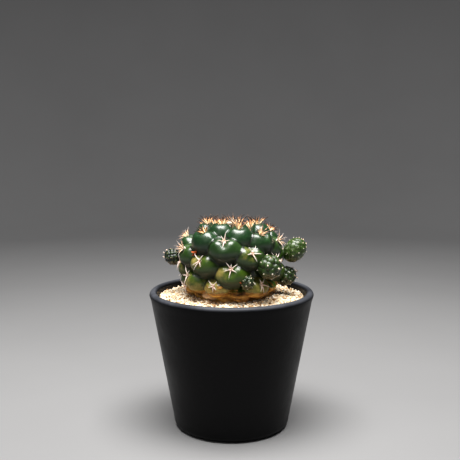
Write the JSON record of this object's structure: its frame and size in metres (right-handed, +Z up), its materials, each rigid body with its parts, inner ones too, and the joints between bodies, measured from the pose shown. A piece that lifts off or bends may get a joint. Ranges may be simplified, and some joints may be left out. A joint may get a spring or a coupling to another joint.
{
  "type": "potted round cactus",
  "caption": "Squat round cactus of swollen tubercles with spine stars and small offsets, in gravel in a tapered matte black pot.",
  "frame": {"origin": "middle of the pot's underside, on the surface it stands on", "axes": "+Z up along the pot's axis, -Y towards the side the plant is shown from"},
  "size_m": [0.105, 0.105, 0.1376],
  "materials": {
    "pot_ceramic": "matte black, soft sheen on the rounded lip",
    "net_plastic": "moulded mesh",
    "pumice": "coarse, porous grains",
    "potting_mix": "dark gritty mix",
    "cream_gravel": "fine cream gravel, dry",
    "root_skin": "corky root skin",
    "stem_skin": "smooth, waxy, deep green skin",
    "offset_skin": "waxy green skin of small knobs",
    "spine_horn": "hard, horny, pale with darker tips",
    "crown_felt": "white plant wool"
  },
  "bodies": {
    "root": {"pot": "pot_ceramic", "drain_net": "net_plastic", "drainage_layer": "pumice", "potting_mix": "potting_mix", "top_dressing": "cream_gravel", "taproot": "root_skin", "stem": "stem_skin", "crown_wool": "crown_felt", "offset_right_upper": "offset_skin", "offset_right_lower": "offset_skin", "offset_front_right": "offset_skin", "offset_front_small": "offset_skin", "offset_left": "offset_skin", "spine_cluster_01": "spine_horn", "spine_cluster_02": "spine_horn", "spine_cluster_03": "spine_horn", "spine_cluster_04": "spine_horn", "spine_cluster_05": "spine_horn", "spine_cluster_06": "spine_horn", "spine_cluster_07": "spine_horn", "spine_cluster_08": "spine_horn", "spine_cluster_09": "spine_horn", "spine_cluster_10": "spine_horn", "spine_cluster_11": "spine_horn", "spine_cluster_12": "spine_horn", "spine_cluster_13": "spine_horn", "spine_cluster_14": "spine_horn", "spine_cluster_15": "spine_horn", "spine_cluster_16": "spine_horn", "spine_cluster_17": "spine_horn", "spine_cluster_18": "spine_horn", "spine_cluster_19": "spine_horn", "spine_cluster_20": "spine_horn", "spine_cluster_21": "spine_horn", "spine_cluster_22": "spine_horn", "spine_cluster_23": "spine_horn", "spine_cluster_24": "spine_horn", "spine_cluster_25": "spine_horn", "spine_cluster_26": "spine_horn", "spine_cluster_27": "spine_horn", "spine_cluster_28": "spine_horn", "spine_cluster_29": "spine_horn", "spine_cluster_30": "spine_horn", "spine_cluster_31": "spine_horn", "spine_cluster_32": "spine_horn", "spine_cluster_34": "spine_horn", "spine_cluster_35": "spine_horn", "spine_cluster_36": "spine_horn", "spine_cluster_37": "spine_horn", "spine_cluster_38": "spine_horn", "spine_cluster_39": "spine_horn", "spine_cluster_40": "spine_horn", "spine_cluster_42": "spine_horn"}
  },
  "joints": []
}
